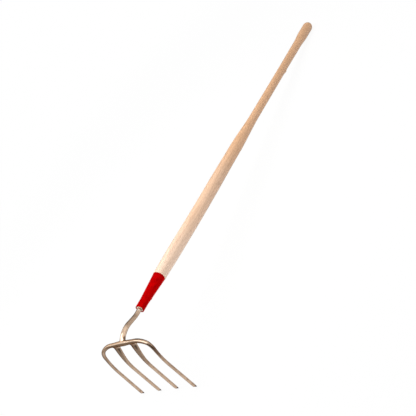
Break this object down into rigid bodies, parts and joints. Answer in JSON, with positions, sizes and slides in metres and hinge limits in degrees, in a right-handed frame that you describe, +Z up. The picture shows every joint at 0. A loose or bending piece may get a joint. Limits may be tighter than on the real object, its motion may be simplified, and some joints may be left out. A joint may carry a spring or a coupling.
{
  "type": "potato hook",
  "caption": "Long handled potato hook: a turned wooden handle, a tapered ferrule and a gooseneck forged head whose slender tines hang square to the handle, for lifting roots.",
  "frame": {"origin": "centre of the bounding box, on the floor that the tool lies on with its tines down", "axes": "+X along the tool from the head to the butt of the handle, +Z up from the floor, the same on both sides of Y = 0"},
  "size_m": [1.4956, 0.2114, 0.1953],
  "materials": {
    "ash": "clear lacquered ash",
    "red_paint": "gloss red enamel",
    "forged_steel": "forged steel, polished and clear lacquered to a warm tone",
    "bright_steel": "plain bright steel"
  },
  "bodies": {
    "root": {"handle": "ash", "ferrule": "red_paint", "forged_head": "forged_steel", "ferrule_pin": "bright_steel"}
  },
  "joints": []
}
